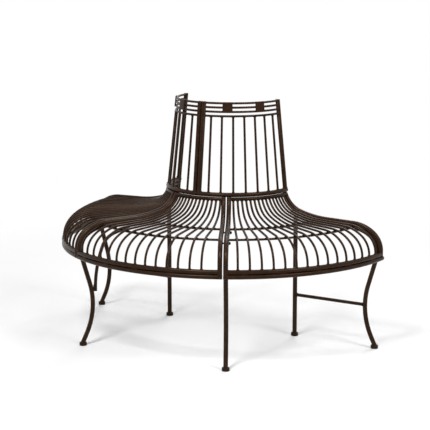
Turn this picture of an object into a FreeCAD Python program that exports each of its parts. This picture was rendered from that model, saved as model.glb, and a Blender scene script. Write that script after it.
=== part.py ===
import FreeCAD, Part
import math
import os
import Sketcher

# Half-round tree bench of welded tube and rod. Its own frame has +Z up, the floor at Z 0 and
# the origin below the middle of its box. Plan angles run from the bench's right end (0) past
# the front (90) to its left end (180), about the upright axis of the tree it stands round.

Vector = FreeCAD.Vector
doc = FreeCAD.newDocument("TreeBench")
sheet = doc.addObject("Spreadsheet::Sheet", "Sizes")

# Driving dimensions, in millimetres and degrees
SIZES = {
    # stock
    "tube_diameter": 16.0,
    "leg_diameter": 16.0,
    "stretcher_diameter": 12.0,
    "brace_diameter": 12.0,
    "slat_diameter": 8.0,
    "hoop_diameter": 8.0,
    "bar_diameter": 8.0,
    "crown_diameter": 8.0,
    # seat in plan, its hoops set in from the rim and out from the back rail
    "rim_radius": 607.5,
    "seat_back_radius": 229.6,
    "panel_angle": 60.0,
    "slat_pitch": 3.75,
    "side_slat_count": 15,
    "middle_slat_count": 13,
    "seam_pitch": 19.0,
    "rim_overhang": 5.0,
    "outer_hoop_inset": 93.5,
    "inner_hoop_offset": 135.4,
    # seat in section, from the rim up and over to the back rail that lies above the rim
    "rim_height": 322.5,
    "seat_back_rise": 190.0,
    "nose_radius": 76.8,
    "nose_sweep": 52.5,
    "brow_radius": 131.3,
    "brow_sweep": 36.0,
    "dish_radius": 393.6,
    "dish_sweep": 16.3,
    "heel_radius": 93.7,
    "heel_sweep": 48.2,
    "heel_tail": 4.0,
    # backrest, set in from the seat's back rail
    "back_inset": 2.6,
    "back_angle": 90.0,
    "back_lean": 6.05,
    "back_top_height": 850.0,
    "bar_pitch": 11.25,
    "bar_count": 7,
    "double_upright_gap": 1.0,
    "crown_rod_count": 4,
    "crown_drop": 4.5,
    "crown_pitch": 14.9,
    "plate_width": 35.0,
    "plate_height": 37.0,
    "plate_thickness": 3.0,
    "plate_angle": 28.125,
    # legs, the outer ones leaning off the straight line from foot to rim
    "foot_spread_radius": 595.9,
    "leg_foot_lean": 25.2,
    "leg_top_lean": 17.4,
    "leg_bend_radius": 250.0,
    "leg_end_offset": 25.4,
    "inner_leg_offset": 41.4,
    "stretcher_height": 151.4,
    "foot_diameter": 26.0,
    "foot_height": 12.0,
    # braces
    "brace_rise": 8.0,
    "brace_bow_radius": 400.0,
    "brace_bow_sweep": 22.0,
    "brace_elbow_radius": 75.0,
    "brace_elbow_sweep": 51.0,
    "brace_tip": 58.0,
    # seam fastenings
    "tab_width": 18.0,
    "tab_thickness": 4.0,
    "tab_offset": 12.0,
    "bolt_diameter": 6.0,
    "bolt_clearance": 0.4,
    "bolt_head_flats": 10.0,
    "bolt_head_height": 4.0,
    "bolt_end": 1.5,
    "nut_flats": 10.0,
    "nut_height": 5.0,
}

for row, (alias, value) in enumerate(SIZES.items(), start=1):
    sheet.set("A%d" % row, alias)
    sheet.set("B%d" % row, str(value))
    sheet.setAlias("B%d" % row, alias)
doc.recompute()


def size(alias):
    """Value of a driving dimension, read from the sheet."""
    return float(sheet.get(alias))


def rad(degrees):
    return math.radians(degrees)


# Numbers of straight runs and sides that stand for the round forms
TUBE_SIDE_COUNT = 8
ROD_SIDE_COUNT = 6
BORE_SIDE_COUNT = 8
FOOT_SIDE_COUNT = 16
RIM_BEND_COUNT = 15
INNER_RAIL_BEND_COUNT = 12
BACK_RAIL_BEND_COUNT = 16
HOOP_BEND_COUNT = 8
CROWN_BEND_COUNT = 8
LEG_BEND_COUNT = 5
BOW_BEND_COUNT = 3
ELBOW_BEND_COUNT = 4
RAIL_BEND_COUNTS = (4, 3, 4, 4)
SLAT_BEND_COUNTS = (2, 2, 2, 3)

# Places that follow from the driving dimensions
TUBE = size("tube_diameter")
LEG = size("leg_diameter")
RIM_TOP = size("rim_height") + TUBE / 2
UPPER_RIM_HEIGHT = size("rim_height") + TUBE
UPPER_RIM_TOP = UPPER_RIM_HEIGHT + TUBE / 2
SEAT_BACK_HEIGHT = size("rim_height") + size("seat_back_rise")
SEAT_BACK_UNDERSIDE = SEAT_BACK_HEIGHT - TUBE / 2
HOOP_RADII = {
    "inner": size("seat_back_radius") + size("inner_hoop_offset"),
    "outer": size("rim_radius") - size("outer_hoop_inset"),
}
BACK_RADIUS = size("seat_back_radius") - size("back_inset")
BACK_RAIL_HEIGHT = SEAT_BACK_HEIGHT + TUBE
BACK_RAIL_TOP = BACK_RAIL_HEIGHT + TUBE / 2
INNER_LEG_RADIUS = size("seat_back_radius") + size("inner_leg_offset")
AXIS_SETBACK = (size("rim_radius") + TUBE / 2 - size("foot_diameter") / 2) / 2


def back_radius_at(height):
    """Radius of the leaning backrest's middle surface at a height."""
    return BACK_RADIUS - (height - BACK_RAIL_HEIGHT) * math.tan(rad(size("back_lean")))


def origin_feature(body, role):
    return next(item for item in body.Origin.OriginFeatures if item.Role == role)


def place(turn, shift=Vector(0, 0, 0), tilt=0.0):
    """Placement of a piece drawn at plan angle 0: tilted in its own upright plane, moved, then
    turned about the tree's axis."""
    axis = FreeCAD.Placement(Vector(0, AXIS_SETBACK, 0), FreeCAD.Rotation(Vector(0, 0, 1), -turn))
    return axis * FreeCAD.Placement(shift, FreeCAD.Rotation(Vector(0, 1, 0), tilt))


def new_body(label, placement):
    body = doc.addObject("PartDesign::Body", label)
    body.Label = label
    body.AllowCompound = True
    body.Placement = placement
    return body


def new_sketch(body, name, role, offset=None):
    sketch = body.newObject("Sketcher::SketchObject", name)
    sketch.AttachmentSupport = [(origin_feature(body, role), "")]
    sketch.MapMode = "FlatFace"
    if offset is not None:
        sketch.AttachmentOffset = offset
    return sketch


def bind(sketch, index, expression):
    sketch.setExpression("Constraints[%d]" % index, expression)


def polygon(sketch, flats, sides, first_flat=0.0, clearance=None):
    """Regular polygon about the sketch's origin, its width across flats bound to the sheet."""
    across = size(flats) + (size(clearance) if clearance else 0.0)
    text = "(Sizes.%s + Sizes.%s)" % (flats, clearance) if clearance else "Sizes." + flats
    corner_radius = across / 2 / math.cos(math.pi / sides)
    step = 2 * math.pi / sides
    angles = [rad(first_flat) + step * (index + 0.5) for index in range(sides)]
    corners = [Vector(corner_radius * math.cos(a), corner_radius * math.sin(a), 0) for a in angles]
    edges = [sketch.addGeometry(Part.LineSegment(corners[index], corners[(index + 1) % sides]))
             for index in range(sides)]
    circle = sketch.addGeometry(Part.Circle(Vector(0, 0, 0), Vector(0, 0, 1), corner_radius), True)
    sketch.addConstraint(Sketcher.Constraint("Coincident", circle, 3, -1, 1))
    bound = sketch.addConstraint(Sketcher.Constraint("Diameter", circle, 2 * corner_radius))
    for edge, following in zip(edges, edges[1:] + edges[:1]):
        sketch.addConstraint(Sketcher.Constraint("Coincident", edge, 2, following, 1))
        sketch.addConstraint(Sketcher.Constraint("PointOnObject", edge, 2, circle))
        if edge != edges[0]:
            sketch.addConstraint(Sketcher.Constraint("Equal", edge, edges[0]))
    upright = abs(math.sin(rad(first_flat))) < 0.5
    sketch.addConstraint(Sketcher.Constraint("Vertical" if upright else "Horizontal", edges[-1]))
    bind(sketch, bound, "%s / cos(180 / %d)" % (text, sides))


def bent_runs(heading, steps):
    """Straight runs that follow a chain of straights and arcs. A step is a straight's size
    name, or an arc's radius name, sweep name, side (1 left, -1 right) and number of bends."""
    runs = []
    length = 0.0
    text = "0"
    heading_text = "%g" % heading
    for step in steps:
        if isinstance(step, str):
            length += size(step)
            text += " + Sizes.%s" % step
            continue
        radius, sweep, side, bends = step
        half = size(radius) * math.tan(rad(size(sweep)) / 2 / bends)
        half_text = "Sizes.%s * tan(Sizes.%s / %d)" % (radius, sweep, 2 * bends)
        for _ in range(bends):
            runs.append((length + half, heading, text + " + " + half_text, heading_text))
            heading += side * size(sweep) / bends
            heading_text += " %s Sizes.%s / %d" % ("+" if side > 0 else "-", sweep, bends)
            length = half
            text = half_text
    runs.append((length, heading, text, heading_text))
    return runs


def run_points(start, runs):
    points = [start]
    for length, heading, _, _ in runs:
        x, z = points[-1]
        points.append((x + length * math.cos(rad(heading)), z + length * math.sin(rad(heading))))
    return points


def draw_path(sketch, start, start_texts, runs, free=(), end_texts=()):
    """Centreline of a bent piece. Every run has its direction and length bound to the sheet,
    but the free ones, which close the distance to the bound end point."""
    points = run_points(start, runs)
    for first, last in zip(points, points[1:]):
        sketch.addGeometry(Part.LineSegment(Vector(*first, 0), Vector(*last, 0)))
    for index in range(len(runs) - 1):
        sketch.addConstraint(Sketcher.Constraint("Coincident", index, 2, index + 1, 1))
    for kind, value, text in zip(("DistanceX", "DistanceY"), start, start_texts):
        bind(sketch, sketch.addConstraint(Sketcher.Constraint(kind, -1, 1, 0, 1, value)), text)
    for index, (length, heading, text, heading_text) in enumerate(runs):
        turned = sketch.addConstraint(Sketcher.Constraint("Angle", index, rad(heading)))
        bind(sketch, turned, heading_text)
        if index not in free:
            bind(sketch, sketch.addConstraint(Sketcher.Constraint("Distance", index, length)), text)
    last = len(runs) - 1
    for kind, value, text in zip(("DistanceX", "DistanceY"), points[-1], end_texts):
        bind(sketch, sketch.addConstraint(Sketcher.Constraint(kind, -1, 1, last, 2, value)), text)
    return points


def sweep_tube(body, section, path, run_count):
    """Section swept along a path of straight runs, with mitred corners."""
    doc.recompute()
    pipe = body.newObject("PartDesign::AdditivePipe", "Tube")
    pipe.Profile = section
    pipe.Spine = (path, ["Edge%d" % (index + 1) for index in range(run_count)])
    pipe.Transition = "Right corner"
    body.Tip = pipe
    return pipe


def level_cut(body, name, height, upwards):
    """Saws a piece off level at a height and drops what is above, or below."""
    offset = FreeCAD.Placement(Vector(0, 0, height), FreeCAD.Rotation())
    sketch = new_sketch(body, name + "_saw", "XY_Plane", offset)
    sketch.addGeometry(Part.Circle(Vector(0, 0, 0), Vector(0, 0, 1), 2 * size("rim_radius")))
    doc.recompute()
    before = body.Tip.Shape.Volume
    pocket = body.newObject("PartDesign::Pocket", name + "_cut")
    pocket.Profile = sketch
    pocket.Reversed = upwards
    pocket.Type = "ThroughAll"
    body.Tip = pocket
    doc.recompute()
    if pocket.Shape.Volume >= before:
        raise RuntimeError(name + " was not cut")
    return pocket


def ring_tube(label, radius, height, first, last, diameter, sides, bends):
    """Level tube or rod bent about the tree's axis from one plan angle to another."""
    body = new_body(label, place(first) * FreeCAD.Placement(Vector(0, 0, height), FreeCAD.Rotation()))
    delta = (last - first) / bends
    half = radius * math.tan(rad(delta) / 2)
    runs = [(half, -90.0, "", "")]
    for index in range(bends):
        length = half if index == bends - 1 else 2 * half
        runs.append((length, -90.0 - delta * (index + 1), "", ""))
    path = new_sketch(body, label + "_path", "XY_Plane")
    points = run_points((radius, 0.0), runs)
    for start, end in zip(points, points[1:]):
        path.addGeometry(Part.LineSegment(Vector(*start, 0), Vector(*end, 0)))
    for index in range(bends):
        path.addConstraint(Sketcher.Constraint("Coincident", index, 2, index + 1, 1))
    offset = FreeCAD.Placement(Vector(radius, 0, 0), FreeCAD.Rotation())
    section = new_sketch(body, label + "_section", "XZ_Plane", offset)
    polygon(section, diameter, sides, 90.0 if sides == ROD_SIDE_COUNT else 0.0)
    sweep_tube(body, section, path, len(runs))
    return body


def seat_steps(bends):
    nose, brow, dish, heel = bends
    return [
        ("nose_radius", "nose_sweep", 1, nose),
        ("brow_radius", "brow_sweep", 1, brow),
        ("dish_radius", "dish_sweep", -1, dish),
        ("heel_radius", "heel_sweep", -1, heel),
        "heel_tail",
    ]


def seat_runs(start_height, bends):
    """Runs of the seat's section from the rim to the back rail. The rise off the rim and the
    flat between brow and dish take up what the two ends' places leave over."""
    runs = bent_runs(90.0, seat_steps(bends))
    flat = bends[0] + bends[1]
    points = run_points((size("rim_radius"), start_height), runs)
    flat_heading = rad(runs[flat][1])
    along = (size("seat_back_radius") - points[-1][0]) / math.cos(flat_heading)
    rise = SEAT_BACK_HEIGHT - points[-1][1] - along * math.sin(flat_heading)
    for index, extra in ((0, rise), (flat, along)):
        length, heading, text, heading_text = runs[index]
        runs[index] = (length + extra, heading, text, heading_text)
    return runs, (0, flat)


def seat_line(bends, start_height=UPPER_RIM_TOP):
    runs, _ = seat_runs(start_height, bends)
    return run_points((size("rim_radius"), start_height), runs)


def seat_profile_tube(label, placement, start_height, start_text, diameter, sides, bends,
                      count=1):
    """Tube or rod that follows the seat's section, from a level end on the rim to a level cut
    under the back rail, and its copies at the slats' pitch."""
    body = new_body(label, placement)
    runs, free = seat_runs(start_height, bends)
    path = new_sketch(body, label + "_path", "XZ_Plane")
    start = (size("rim_radius"), start_height)
    ends = ("Sizes.seat_back_radius", "Sizes.rim_height + Sizes.seat_back_rise")
    draw_path(path, start, ("Sizes.rim_radius", start_text), runs, free, ends)
    offset = FreeCAD.Placement(Vector(start[0], 0, start[1]), FreeCAD.Rotation())
    section = new_sketch(body, label + "_section", "XY_Plane", offset)
    section.setExpression("AttachmentOffset.Base.x", "Sizes.rim_radius")
    section.setExpression("AttachmentOffset.Base.z", start_text)
    polygon(section, diameter, sides)
    pipe = sweep_tube(body, section, path, len(runs))
    if count > 1:
        turn_pattern(body, pipe, size("slat_pitch"), count)
    level_cut(body, label, SEAT_BACK_UNDERSIDE, True)


def point_on(line, radius):
    """Height and slope, in degrees, of a section line at a radius on its upper stretch."""
    for (x1, z1), (x2, z2) in zip(line, line[1:]):
        if x2 <= radius <= x1:
            height = z1 + (z2 - z1) * (radius - x1) / (x2 - x1)
            return height, math.degrees(math.atan2(z2 - z1, x1 - x2))
    raise ValueError("no point at radius %g" % radius)


def hoop_height(radius):
    """Height of a hoop whose flat top touches the slats' underside."""
    height, slope = point_on(seat_line(SLAT_BEND_COUNTS), radius)
    slat, hoop = size("slat_diameter"), size("hoop_diameter")
    corner = hoop / 2 * math.tan(math.pi / ROD_SIDE_COUNT) * math.tan(rad(abs(slope)))
    return height - slat / 2 / math.cos(rad(slope)) - corner - hoop / 2


def offset_angle(distance, radius):
    return math.degrees(math.asin(distance / radius))


def seat_panel(name, first, last, first_shift, last_shift, first_slat, slats, overhangs):
    """One third of the seat: two side rails, the rim's two stacked tubes, the back rail, two
    hoops and the slats. A shift moves a side rail off its radial plane, into the panel."""
    half = TUBE / 2
    for side, angle, shift in (("right", first, -first_shift), ("left", last, last_shift)):
        placement = place(angle, Vector(0, shift, 0))
        seat_profile_tube("%s_%s_side_rail" % (name, side), placement, RIM_TOP,
                          "Sizes.rim_height + Sizes.tube_diameter / 2", "tube_diameter",
                          TUBE_SIDE_COUNT, RAIL_BEND_COUNTS)
    rim = size("rim_radius")
    inside = rim - half
    starts = first + offset_angle(first_shift + half, inside)
    ends = last - offset_angle(last_shift + half, inside)
    ring_tube(name + "_upper_rim", rim, UPPER_RIM_HEIGHT, starts, ends,
              "tube_diameter", TUBE_SIDE_COUNT, RIM_BEND_COUNT)
    starts = first + offset_angle(first_shift - half - overhangs[0], rim)
    ends = last - offset_angle(last_shift - half - overhangs[1], rim)
    ring_tube(name + "_lower_rim", rim, size("rim_height"), starts, ends,
              "tube_diameter", TUBE_SIDE_COUNT, RIM_BEND_COUNT)
    back = size("seat_back_radius")
    starts = first + offset_angle(first_shift - half, back)
    ends = last - offset_angle(last_shift - half, back)
    ring_tube(name + "_seat_back_rail", back, SEAT_BACK_HEIGHT, starts, ends,
              "tube_diameter", TUBE_SIDE_COUNT, INNER_RAIL_BEND_COUNT)
    for which in HOOP_RADII:
        radius = HOOP_RADII[which]
        flank = rail_flank(radius)
        starts = first + offset_angle(first_shift + flank, radius)
        ends = last - offset_angle(last_shift + flank, radius)
        ring_tube("%s_%s_hoop" % (name, which), radius, hoop_height(radius), starts, ends,
                  "hoop_diameter", ROD_SIDE_COUNT, HOOP_BEND_COUNT)
    seat_profile_tube(name + "_slats", place(first_slat), UPPER_RIM_TOP,
                      "Sizes.rim_height + Sizes.tube_diameter * 1.5",
                      "slat_diameter", ROD_SIDE_COUNT, SLAT_BEND_COUNTS, slats)


def turn_pattern(body, feature, pitch, count):
    """Repeats a feature about the tree's axis, towards the bench's left end."""
    doc.recompute()
    pattern = body.newObject("PartDesign::PolarPattern", "Pattern")
    pattern.Originals = [feature]
    pattern.Axis = (origin_feature(body, "Z_Axis"), [""])
    pattern.Reversed = True
    pattern.Angle = pitch * (count - 1)
    pattern.Occurrences = count
    body.Tip = pattern


def rail_flank(radius):
    """How far from a side rail's middle plane a hoop's upper edge meets the rail's flank."""
    rail, _ = point_on(seat_line(RAIL_BEND_COUNTS, RIM_TOP), radius)
    drop = rail - hoop_height(radius) - size("hoop_diameter") / 2
    flat = TUBE / 2 * math.tan(math.pi / TUBE_SIDE_COUNT)
    return TUBE / 2 - max(0.0, drop - flat)


def lean_direction():
    return Vector(-math.tan(rad(size("back_lean"))), 0, 1)


def padded_tube(label, placement, position, length, diameter, sides, direction=None, count=1,
                pitch=0.0):
    """Straight tube or rod with level ends, upright or leaning, and its copies round the tree."""
    body = new_body(label, placement)
    section = new_sketch(body, label + "_section", "XY_Plane",
                         FreeCAD.Placement(position, FreeCAD.Rotation()))
    polygon(section, diameter, sides)
    doc.recompute()
    pad = body.newObject("PartDesign::Pad", label + "_pad")
    pad.Profile = section
    pad.Length = length
    if direction is not None:
        pad.UseCustomVector = True
        pad.Direction = direction
        pad.AlongSketchNormal = True
    body.Tip = pad
    if count > 1:
        turn_pattern(body, pad, pitch, count)
    return body


def back_panel(name, first, first_shift, last_shift, overhangs):
    """One half of the backrest: a lower rail, two uprights on it, bars, crown rods, plates."""
    half = TUBE / 2
    last = first + size("back_angle")
    bottom = BACK_RAIL_TOP
    radius = back_radius_at(bottom)
    rise = size("back_top_height") - bottom
    for side, angle, shift in (("right", first, -first_shift), ("left", last, last_shift)):
        padded_tube("%s_back_%s_upright" % (name, side), place(angle), Vector(radius, shift, bottom),
                    rise, "tube_diameter", TUBE_SIDE_COUNT, lean_direction())
    rail = BACK_RADIUS
    starts = first + offset_angle(first_shift - half - overhangs[0], rail)
    ends = last - offset_angle(last_shift - half - overhangs[1], rail)
    ring_tube(name + "_back_lower_rail", rail, BACK_RAIL_HEIGHT, starts, ends,
              "tube_diameter", TUBE_SIDE_COUNT, BACK_RAIL_BEND_COUNT)
    crowns = []
    crown = size("crown_diameter")
    for index in range(int(size("crown_rod_count"))):
        height = size("back_top_height") - size("crown_drop") - index * size("crown_pitch")
        level = back_radius_at(height)
        starts = first + offset_angle(first_shift + half, level - crown / 2)
        ends = last - offset_angle(last_shift + half, level - crown / 2)
        crowns.append(ring_tube("%s_crown_rod_%d" % (name, index + 1), level, height, starts, ends,
                                "crown_diameter", ROD_SIDE_COUNT, CROWN_BEND_COUNT))
    group(name + "_crown_rods", crowns)
    padded_tube(name + "_back_bars", place(first + size("bar_pitch")), Vector(radius, 0, bottom),
                height - crown / 2 - bottom, "bar_diameter", ROD_SIDE_COUNT, lean_direction(),
                int(size("bar_count")), size("bar_pitch"))
    bend = rad((ends - starts) / CROWN_BEND_COUNT / 2)
    middle = size("back_top_height") - size("plate_height") / 2
    corner = crown / 2 / math.cos(math.pi / ROD_SIDE_COUNT)
    face = (back_radius_at(middle) + corner) / math.cos(bend)
    plates = [plate("%s_plate_%d" % (name, number), angle, face, middle)
              for number, angle in ((1, first + size("plate_angle")), (2, last - size("plate_angle")))]
    group(name + "_plates", plates)


def plate(label, angle, face, middle):
    """Small flat plate across the upper crown rods, on the sitter's side."""
    body = new_body(label, place(angle, Vector(face, 0, middle), -size("back_lean")))
    sketch = new_sketch(body, label + "_outline", "YZ_Plane")
    rectangle(sketch, "plate_width", "plate_height")
    doc.recompute()
    pad = body.newObject("PartDesign::Pad", label + "_pad")
    pad.Profile = sketch
    pad.setExpression("Length", "Sizes.plate_thickness")
    body.Tip = pad
    return body


def rectangle(sketch, width, height):
    """Rectangle centred on the sketch's origin."""
    x, y = size(width) / 2, size(height) / 2
    corners = [(-x, -y), (x, -y), (x, y), (-x, y)]
    for index in range(4):
        first, last = corners[index], corners[(index + 1) % 4]
        sketch.addGeometry(Part.LineSegment(Vector(*first, 0), Vector(*last, 0)))
    for index in range(4):
        sketch.addConstraint(Sketcher.Constraint("Coincident", index, 2, (index + 1) % 4, 1))
        level = "Horizontal" if index % 2 == 0 else "Vertical"
        sketch.addConstraint(Sketcher.Constraint(level, index))
    sketch.addConstraint(Sketcher.Constraint("Symmetric", 0, 1, 2, 1, -1, 1))
    bind(sketch, sketch.addConstraint(Sketcher.Constraint("Distance", 0, 2 * x)), "Sizes." + width)
    bind(sketch, sketch.addConstraint(Sketcher.Constraint("Distance", 1, 2 * y)), "Sizes." + height)


def group(label, bodies):
    """Like pieces that are kept together as separate solids under one name."""
    compound = doc.addObject("Part::Compound", label)
    compound.Label = label
    compound.Links = bodies
    return compound


def leg_line():
    """Outer leg's centreline from the floor up to the rim's inner side: out at the foot, in at
    the waist, out again at the rim. Both leans are off the straight line between its ends."""
    foot = (size("foot_spread_radius"), 0.0)
    top = (size("rim_radius") - TUBE / 2 - LEG / 2, size("rim_height"))
    rise, shift = top[1] - foot[1], top[0] - foot[0]
    heading = math.degrees(math.atan2(rise, shift)) + size("leg_foot_lean")
    sweep = size("leg_foot_lean") + size("leg_top_lean")
    half = size("leg_bend_radius") * math.tan(rad(sweep) / 2 / LEG_BEND_COUNT)
    runs = [(half, heading, "", "")]
    for index in range(LEG_BEND_COUNT):
        heading -= sweep / LEG_BEND_COUNT
        runs.append((half if index == LEG_BEND_COUNT - 1 else 2 * half, heading, "", ""))
    x, z = run_points(foot, runs)[-1]
    low, high = rad(runs[0][1]), rad(runs[-1][1])
    cross = math.sin(high - low)
    first = ((top[0] - x) * math.sin(high) - (top[1] - z) * math.cos(high)) / cross
    last = (math.cos(low) * (top[1] - z) - math.sin(low) * (top[0] - x)) / cross
    runs[0] = (half + first, *runs[0][1:])
    runs[-1] = (half + last, *runs[-1][1:])
    return run_points(foot, runs)


def point_at_height(line, height):
    """Radius of a rising section line at a height."""
    for (x1, z1), (x2, z2) in zip(line, line[1:]):
        if z1 <= height <= z2:
            return x1 + (x2 - x1) * (height - z1) / (z2 - z1)
    raise ValueError("the line does not reach %g" % height)


def leg_radius_at(height):
    return point_at_height(leg_line(), height)


def underside(line, distance):
    """A section line moved square to itself, towards its lower left side."""
    moved = []
    for index, point in enumerate(line):
        around = line[max(index - 1, 0):index + 2]
        headings = [math.atan2(b[1] - a[1], b[0] - a[0]) for a, b in zip(around, around[1:])]
        middle = sum(headings) / len(headings)
        reach = distance / math.cos((headings[-1] - headings[0]) / 2)
        moved.append((point[0] - reach * math.sin(middle), point[1] + reach * math.cos(middle)))
    return moved


def below_rail(distance):
    """Section line at a distance below a side rail's centreline."""
    return underside(seat_line(RAIL_BEND_COUNTS, RIM_TOP), distance)


def leg_path():
    """Whole centreline of an outer leg. At the rim it turns in under the seat and runs on below
    the side rail, flat against it, to an end behind the inner leg."""
    end = size("seat_back_radius") + size("leg_end_offset")
    under = below_rail(TUBE / 2 + LEG / 2)
    kept = [point for point in under[1:] if point[0] > end]
    return leg_line() + kept + [(end, point_on(under, end)[0])]


def bent_tube(label, placement, points, diameter, sides):
    """Tube bent in its own upright plane, square to its path at its start."""
    body = new_body(label, placement)
    path = new_sketch(body, label + "_path", "XZ_Plane")
    for first, last in zip(points, points[1:]):
        path.addGeometry(Part.LineSegment(Vector(*first, 0), Vector(*last, 0)))
    for index in range(len(points) - 2):
        path.addConstraint(Sketcher.Constraint("Coincident", index, 2, index + 1, 1))
    (x, z), (x2, z2) = points[:2]
    tilt = FreeCAD.Rotation(Vector(0, 1, 0), 90 - math.degrees(math.atan2(z2 - z, x2 - x)))
    section = new_sketch(body, label + "_section", "XY_Plane",
                         FreeCAD.Placement(Vector(x, 0, z), tilt))
    polygon(section, diameter, sides)
    sweep_tube(body, section, path, len(points) - 1)
    return body


def outer_leg(label, angle, bored):
    """Leg from its foot cap to its end under the seat, bored where the seam's bolts cross it."""
    body = bent_tube(label, place(angle), leg_path(), "leg_diameter", TUBE_SIDE_COUNT)
    level_cut(body, label + "_foot", size("foot_height"), False)
    if not bored:
        return
    for which in HOOP_RADII:
        hole, slope = bolt_place(which)
        turn = FreeCAD.Rotation(Vector(0, 0, 1), -slope)
        sketch = new_sketch(body, "%s_%s_bore" % (label, which), "XZ_Plane",
                            FreeCAD.Placement(Vector(hole.x, hole.z, 0), turn))
        polygon(sketch, "bolt_diameter", BORE_SIDE_COUNT, 0.0, "bolt_clearance")
        doc.recompute()
        pocket = body.newObject("PartDesign::Pocket", "%s_%s_cut" % (label, which))
        pocket.Profile = sketch
        pocket.Type = "ThroughAll"
        pocket.Midplane = True
        body.Tip = pocket


def inner_leg(label, angle):
    """Straight leg from its foot cap up to the outer leg's run below the seat, its head cut to
    that run's underside."""
    radius = INNER_LEG_RADIUS
    reach = LEG
    top = SEAT_BACK_HEIGHT + reach
    body = padded_tube(label, place(angle), Vector(radius, 0, size("foot_height")),
                       SEAT_BACK_HEIGHT - size("foot_height"), "leg_diameter", TUBE_SIDE_COUNT)
    low = below_rail(TUBE / 2 + LEG)
    outline = [point for point in low if abs(point[0] - radius) < reach]
    ends = [(radius + side * reach, point_on(low, radius + side * reach)[0]) for side in (1, -1)]
    outline = [ends[0]] + outline + [ends[1]]
    outline += [(radius - reach, top), (radius + reach, top)]
    sketch = new_sketch(body, label + "_saddle", "XZ_Plane")
    for first, last in zip(outline, outline[1:] + outline[:1]):
        sketch.addGeometry(Part.LineSegment(Vector(*first, 0), Vector(*last, 0)))
    doc.recompute()
    pocket = body.newObject("PartDesign::Pocket", label + "_cut")
    pocket.Profile = sketch
    pocket.Midplane = True
    pocket.Length = 2 * reach
    body.Tip = pocket


def stretcher(label, angle):
    """Level tube between an end's two legs."""
    inner = INNER_LEG_RADIUS + LEG / 2
    outer = leg_radius_at(size("stretcher_height")) - LEG / 2
    body = new_body(label, place(angle, Vector(inner, 0, size("stretcher_height"))))
    section = new_sketch(body, label + "_section", "YZ_Plane")
    polygon(section, "stretcher_diameter", TUBE_SIDE_COUNT)
    doc.recompute()
    pad = body.newObject("PartDesign::Pad", label + "_pad")
    pad.Profile = section
    pad.Length = outer - inner
    body.Tip = pad


def brace_runs():
    steps = ["brace_rise", ("brace_bow_radius", "brace_bow_sweep", 1, BOW_BEND_COUNT),
             ("brace_elbow_radius", "brace_elbow_sweep", 1, ELBOW_BEND_COUNT), "brace_tip"]
    return bent_runs(90.0, steps)


def brace_start():
    """Where a brace's centreline starts: its foot touches the leg's inner face and its tip the
    underside of the leg's run below the seat. A few passes find the height that does both."""
    half = size("brace_diameter") / 2
    face = underside(leg_line(), LEG / 2)
    low = below_rail(TUBE / 2 + LEG)
    runs = brace_runs()
    heading = rad(runs[-1][1])
    height = size("rim_height") / 2
    for _ in range(12):
        x = min([point_at_height(face, height)] + [x for x, z in face if z > height]) - half
        end_x, end_z = run_points((x, height), runs)[-1]
        corner = (end_x + half * math.sin(heading), end_z - half * math.cos(heading))
        height += point_on(low, corner[0])[0] - corner[1]
    return x, height


def brace(label, angle):
    """Brace from a middle leg's inner side, up and over, to that leg's run below the seat."""
    points = run_points(brace_start(), brace_runs())
    bent_tube(label, place(angle), points, "brace_diameter", TUBE_SIDE_COUNT)


def feet(label, radius, pitch, count):
    """Round foot caps under the legs, their upper edges chamfered."""
    body = new_body(label, place(0))
    sketch = new_sketch(body, label + "_outline", "XY_Plane",
                        FreeCAD.Placement(Vector(radius, 0, 0), FreeCAD.Rotation()))
    polygon(sketch, "foot_diameter", FOOT_SIDE_COUNT)
    doc.recompute()
    pad = body.newObject("PartDesign::Pad", label + "_pad")
    pad.Profile = sketch
    pad.setExpression("Length", "Sizes.foot_height")
    body.Tip = pad
    turn_pattern(body, pad, pitch, count)


def bolt_place(which):
    """Centre of a seam bolt in its section, on the leg's run below the rail, and the slope."""
    radius = HOOP_RADII[which] + size("tab_offset")
    height, slope = point_on(seat_line(RAIL_BEND_COUNTS, RIM_TOP), radius)
    drop = TUBE / 2 + LEG / 2
    across, down = drop * math.sin(rad(slope)), drop * math.cos(rad(slope))
    return Vector(radius - across, 0, height - down), slope


def shifted(distance, turn=0.0):
    return FreeCAD.Placement(Vector(0, distance, 0), FreeCAD.Rotation(Vector(1, 0, 0), turn))


def pad_sketch(body, sketch, length_text):
    doc.recompute()
    pad = body.newObject("PartDesign::Pad", sketch.Name + "_pad")
    pad.Profile = sketch
    pad.setExpression("Length", length_text)
    body.Tip = pad
    return pad


def seam_tab(label, placement):
    """Tab under a middle side rail, its top on the rail, its lower end round, a bolt hole in it."""
    body = new_body(label, placement)
    sketch = new_sketch(body, label + "_outline", "XZ_Plane")
    half, top = size("tab_width") / 2, LEG / 2
    sketch.addGeometry(Part.LineSegment(Vector(-half, 0, 0), Vector(-half, top, 0)))
    sketch.addGeometry(Part.LineSegment(Vector(-half, top, 0), Vector(half, top, 0)))
    sketch.addGeometry(Part.LineSegment(Vector(half, top, 0), Vector(half, 0, 0)))
    round_end = Part.Circle(Vector(0, 0, 0), Vector(0, 0, 1), half)
    sketch.addGeometry(Part.ArcOfCircle(round_end, math.pi, 2 * math.pi))
    hole = new_sketch(body, label + "_hole", "XZ_Plane")
    polygon(hole, "bolt_diameter", BORE_SIDE_COUNT, 0.0, "bolt_clearance")
    pad_sketch(body, sketch, "Sizes.tab_thickness").Midplane = True
    doc.recompute()
    pocket = body.newObject("PartDesign::Pocket", label + "_cut")
    pocket.Profile = hole
    pocket.Type = "ThroughAll"
    pocket.Midplane = True
    body.Tip = pocket
    return body


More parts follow.
